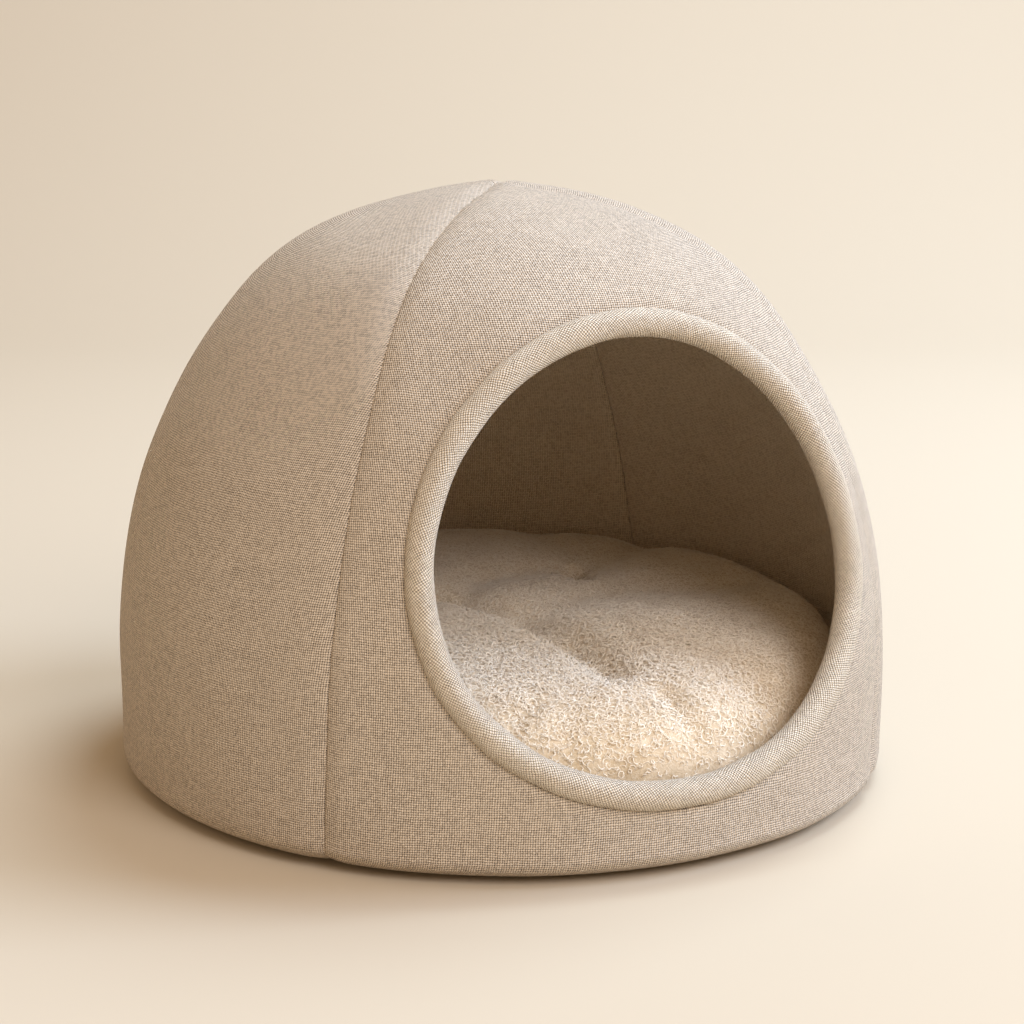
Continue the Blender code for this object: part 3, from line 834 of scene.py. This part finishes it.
# the base's cotton canvas: the same plain weave in a darker thread, with paler pits
canvas = {**linen, "light": "#AB9572", "mid": "#947D5C", "pit": "#5E4E37"}


def weaveLevel(tree, threads, finish):
    # plain weave: two sets of round threads, with a pit at every crossing of their gaps, and one set a
    # little prouder in every second cell, where it crosses over the other. The ramp later colours the pits
    # dark, as painted shade
    ridges, gaps, cells = [], [], []
    for place in threads.outputs[:2]:
        halfTurns = addNode(tree, "Math", {0: place, 1: math.pi}, operation="MULTIPLY")
        wave = addNode(tree, "Math", {0: halfTurns}, operation="SINE")
        ridges.append(addNode(tree, "Math", {0: wave}, operation="ABSOLUTE"))
        gaps.append(addNode(tree, "Math", {0: 1, 1: ridges[-1]}, operation="SUBTRACT"))
        cells.append(addNode(tree, "Math", {0: place}, operation="FLOOR"))
    pair = addNode(tree, "Math", {0: cells[0], 1: cells[1]}, operation="ADD")
    parity = addNode(tree, "Math", {0: pair, 1: 2}, operation="FLOORED_MODULO")
    pit = addNode(tree, "Math", {0: gaps[0], 1: gaps[1]}, operation="MULTIPLY")
    filled = addNode(tree, "Math", {0: 1, 1: pit}, operation="SUBTRACT")
    proud = addNode(tree, "Mix", {"Factor": parity, "A": ridges[0], "B": ridges[1]}, data_type="FLOAT")
    under = addNode(tree, "Math", {0: filled, 1: 1 - finish["over"]}, operation="MULTIPLY")
    woven = addNode(tree, "Math", {0: proud, 1: finish["over"], 2: under}, operation="MULTIPLY_ADD")
    both = addNode(tree, "Math", {0: ridges[0], 1: ridges[1]}, operation="MULTIPLY")
    crown = addNode(tree, "Math", {0: both, 1: finish["crownPower"]}, operation="POWER")
    level = addNode(tree, "Mix", {"Factor": finish["pebbles"], "A": woven, "B": crown}, data_type="FLOAT")
    cell = addNode(tree, "CombineXYZ", {0: cells[0], 1: cells[1]})
    crossing = addNode(tree, "TexWhiteNoise", {"Vector": cell}, noise_dimensions="2D")
    return level, parity, crossing


def makeLinen(name, finish):
    # linen, plain woven from slubby flax yarn and washed soft: matt, with pits between the
    # threads, threads of slightly different shade and thickness, and a faint fuzz
    material, tree, shader = startMaterial(name)
    cloth = addNode(tree, "UVMap", {}, uv_map="Weave")
    threads = addNode(tree, "Mapping", {
        "Vector": cloth,
        "Rotation": (0, 0, math.radians(finish["turned"])),
        "Scale": (1 / finish["pitch"] / mm,) * 3,
    })
    # threads wander a little from their even spacing, either way, so the noise is centred first
    noise = addNode(tree, "TexNoise", {"Vector": threads, "Scale": finish["wanderScale"], "Detail": 2.0})
    shift = addNode(tree, "VectorMath", {0: noise.outputs["Color"], 1: (0.5, 0.5, 0.5)},
                    operation="SUBTRACT")
    wander = (finish["wander"], finish["wander"], 0)
    moved = addNode(tree, "VectorMath", {0: shift, 1: wander, 2: threads}, operation="MULTIPLY_ADD")
    level, parity, crossing = weaveLevel(tree, addNode(tree, "SeparateXYZ", {0: moved}), finish)
    # each yarn keeps its own shade along its length, with slubs here and there
    yarns = []
    for stretch in ((1, finish["slubs"], 1), (finish["slubs"], 1, 1)):
        yarn = addNode(tree, "VectorMath", {0: moved, 1: stretch}, operation="MULTIPLY")
        yarns.append(addNode(tree, "TexNoise", {
            "Vector": yarn, "Scale": finish["yarnScale"], "Detail": 2.0, "Roughness": 0.6}))
    yarn = addNode(tree, "Mix", {"Factor": parity, "A": yarns[0], "B": yarns[1]}, data_type="FLOAT")
    patch = addNode(tree, "TexNoise", {"Vector": threads, "Scale": finish["patchScale"], "Detail": 3.0})
    shade = addNode(tree, "Math", {0: yarn, 1: finish["yarnShade"]}, operation="MULTIPLY")
    for part, weight in ((patch, finish["patchShade"]), (crossing, finish["crossingShade"])):
        shade = addNode(tree, "Math", {0: part, 1: weight, 2: shade}, operation="MULTIPLY_ADD")
    tone = addNode(tree, "MapRange", {
        "Value": shade,
        "From Min": finish["shadeRange"][0],
        "From Max": finish["shadeRange"][1],
        "To Min": -finish["tone"],
        "To Max": finish["tone"],
    })
    if finish["plainBand"]:
        begin, end = finish["plainBand"]
        height = addNode(tree, "SeparateXYZ", {0: cloth}).outputs[1]
        inBand = addNode(tree, "MapRange", {"Value": height, "From Min": begin * mm, "From Max": end * mm},
                         interpolation_type="SMOOTHSTEP")
        level = addNode(tree, "Mix", {"Factor": inBand, "A": level, "B": finish["bandLevel"]},
                        data_type="FLOAT")
    level = addNode(tree, "Math", {0: level, 1: tone}, operation="ADD")
    # painted shade: the ramp colours the weave by its level, darkest in the pits between the threads,
    # standing in for the shade that falls in them, and lighter on the threads
    ramp = addNode(tree, "ValToRGB", {0: level})
    stops = ramp.color_ramp.elements
    stops[0].position, stops[0].color = finish["pitTop"], hexToLinear(finish["pit"])
    stops[1].position, stops[1].color = 1.0, hexToLinear(finish["light"])
    stops.new(finish["filledAt"]).color = hexToLinear(finish["mid"])
    bump = addNode(tree, "Bump", {"Strength": 1.0, "Distance": finish["relief"] * mm, "Height": level})
    setInputs(tree, shader, {
        "Base Color": ramp,
        "Normal": bump,
        "Roughness": finish["roughness"],
        "Sheen Weight": finish["sheen"],
        "Sheen Roughness": finish["sheenRoughness"],
        "IOR": finish["ior"],
        "Specular IOR Level": finish["specular"],
    })
    return material


fleece = {                     # the locks
    "light": "#FCF0DB",
    "dark": "#F3E3CA",
    "curl": 2.6,               # mm across, of the finest curls in the colour
    "twist": 1.6,
    "clumpsPerMetre": 60,      # the broader patches
    "shadeRange": (0.75, 1.25),
    "fuzz": 0.5,
    "fuzzHeight": 0.8 * mm,
    "roughness": 0.95,
    "sheen": 0.4,
    "sheenRoughness": 0.7,
}
# the knitted cloth that the locks stand on: a little darker, as it lies in their shade
backing = {**fleece, "light": "#E6D2B3", "dark": "#CBB48F"}


def makeFleece(name, finish):
    # polyester sherpa fleece, knitted and brushed into curls: soft, matt and light-catching
    material, tree, shader = startMaterial(name)
    place = addNode(tree, "TexCoord", {}).outputs["Object"]
    curls = addNode(tree, "TexNoise", {
        "Vector": place, "Scale": 1 / finish["curl"] / mm, "Detail": 2.0, "Distortion": finish["twist"]})
    clumps = addNode(tree, "TexNoise", {"Vector": place, "Scale": finish["clumpsPerMetre"], "Detail": 2.0})
    both = addNode(tree, "Math", {0: curls, 1: clumps}, operation="ADD")
    least, most = finish["shadeRange"]
    shade = addNode(tree, "MapRange", {"Value": both, "From Min": least, "From Max": most})
    ramp = addNode(tree, "ValToRGB", {0: shade})
    ramp.color_ramp.elements[0].color = hexToLinear(finish["dark"])
    ramp.color_ramp.elements[1].color = hexToLinear(finish["light"])
    bump = addNode(tree, "Bump", {
        "Strength": finish["fuzz"], "Distance": finish["fuzzHeight"], "Height": curls})
    setInputs(tree, shader, {
        "Base Color": ramp,
        "Normal": bump,
        "Roughness": finish["roughness"],
        "Sheen Weight": finish["sheen"],
        "Sheen Roughness": finish["sheenRoughness"],
    })
    return material


# studio

studio = {
    "floor": "#C9BBA5",
    "sweepFront": -8.0,        # the paper runs from here, in front of the bed,
    "sweepBack": 1.6,          # flat to here, behind it, and then curves up
    "sweepCurve": 1.2,
    "sweepRise": (0.4, 2.4),   # above the curve
    "sweepHalfWidth": 7,
    "sweepSteps": (9, 17, 4, 9),   # points along the floor, the curve and the rise, and across
    "lampDistance": 3.2,
    "lampSize": 1.75,
    "lampAim": 0.1,            # height of the place that they point at
    "world": "#FFE3C4",
    "worldStrength": 0.65,
}
lamps = {
    "key": {"azimuth": 8, "elevation": 37, "power": 49, "colour": "#F6F7FF"},
    "side": {"azimuth": 68, "elevation": 32, "power": 100, "colour": "#C0DAFF"},
    "rim": {"azimuth": 115, "elevation": 60, "power": 92, "colour": "#D2E8FF"},
}
view = {
    "azimuth": -26.18,
    "elevation": 12.5,
    "distance": 1.4,
    "target": (0.0070, -0.0034, 0.1436),
    "lens": 84.55,
    "sensor": 36,
}


def directionFrom(azimuth, elevation):
    turn, lift = math.radians(azimuth), math.radians(elevation)
    return Vector((math.sin(turn) * math.cos(lift), -math.cos(turn) * math.cos(lift), math.sin(lift)))


def makeSweep():
    # matt warm paper, rolled out flat under the bed and curving up behind it, with no shine
    back, curve = studio["sweepBack"], studio["sweepCurve"]
    floorSteps, curveSteps, riseSteps, acrossSteps = studio["sweepSteps"]
    floor = np.linspace(studio["sweepFront"], back, floorSteps)
    bend = np.linspace(0, math.pi / 2, curveSteps)[1:]
    upright = curve + np.linspace(*studio["sweepRise"], riseSteps)
    run = np.concatenate([floor, back + curve * np.sin(bend), np.full(riseSteps, back + curve)])
    rise = np.concatenate([np.zeros(floorSteps), curve * (1 - np.cos(bend)), upright])
    turn = math.radians(view["azimuth"])
    forward = np.array([-math.sin(turn), math.cos(turn)])
    right = np.array([math.cos(turn), math.sin(turn)])
    across = np.linspace(-studio["sweepHalfWidth"], studio["sweepHalfWidth"], acrossSteps)
    plan = run[:, None, None] * forward + across[None, :, None] * right
    points = np.concatenate([plan, np.broadcast_to(rise[:, None, None], plan.shape[:2] + (1,))], -1)
    indices = np.arange(points.shape[0] * points.shape[1]).reshape(points.shape[:2])
    sweep = makeMesh("paper_sweep", points.reshape(-1, 3), gridFaces(indices, flip=True))
    material, tree, shader = startMaterial("warm_paper")
    setInputs(tree, shader, {
        "Base Color": hexToLinear(studio["floor"]), "Roughness": 1.0, "Specular IOR Level": 0.0})
    sweep.data.materials.append(material)


def makeLights():
    for name, lamp in lamps.items():
        light = bpy.data.lights.new(name, "AREA")
        light.shape, light.size, light.energy = "DISK", studio["lampSize"], lamp["power"]
        light.color = hexToLinear(lamp["colour"])[:3]
        holder = bpy.data.objects.new(name, light)
        towards = directionFrom(lamp["azimuth"], lamp["elevation"])
        holder.location = towards * studio["lampDistance"] + Vector((0, 0, studio["lampAim"]))
        holder.rotation_euler = towards.to_track_quat("Z", "Y").to_euler()
        bpy.context.collection.objects.link(holder)
    world = bpy.data.worlds.new("studio_air")
    world.use_nodes = True
    setInputs(world.node_tree, world.node_tree.nodes["Background"], {
        "Color": hexToLinear(studio["world"]), "Strength": studio["worldStrength"]})
    bpy.context.scene.world = world
    bpy.context.scene.view_settings.view_transform = "Standard"


def makeCamera():
    lens = bpy.data.cameras.new("photo_view")
    lens.lens, lens.sensor_width = view["lens"], view["sensor"]
    camera = bpy.data.objects.new("photo_view", lens)
    towards = directionFrom(view["azimuth"], view["elevation"])
    camera.location = Vector(view["target"]) + towards * view["distance"]
    camera.rotation_euler = towards.to_track_quat("Z", "Y").to_euler()
    bpy.context.collection.objects.link(camera)
    bpy.context.scene.camera = camera


def dress(piece, material, node=None):
    piece.data.materials.append(material)
    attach(piece, body)
    if node:
        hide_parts(node)


# making

middle, outside, away = openingLoop()
gores = {
    "front_panel": makeFrontGore("front_gore", middle, away),
    "right_side_panel": makeGore("right_gore", "rightFront", "rightBack"),
    "back_panel": makeGore("back_gore", "rightBack", "leftBack"),
    "left_side_panel": makeGore("left_gore", "leftBack", "leftFront"),
}
outerLinen = makeLinen("washed_flax_linen", linen)
# painted light: a paler copy of the linen for the faces inside the cave
paintedLightLinen = makeLinen("linen_painted_light_inside", paintedLightInside)
for node, piece in gores.items():
    dress(piece, outerLinen, node)
    paintLightInside(piece, paintedLightLinen)
print("gores made")
biasLinen = makeLinen("bias_cut_linen", binding)
dress(makeRoll(middle, outside, away), biasLinen, "opening_roll")
print("roll made")
dress(makeBase(), makeLinen("plain_cotton_canvas", canvas), "base_panel")
print("base made")
cushionCloth = makeCushion()
dress(cushionCloth, makeFleece("sherpa_backing", backing), "cushion")
fleecePile = makeFleece("sherpa_fleece", fleece)
for piece in makePile(cushionCloth):
    dress(piece, fleecePile)
print("cushion made")
makeSweep()
makeLights()
makeCamera()
print("studio made")
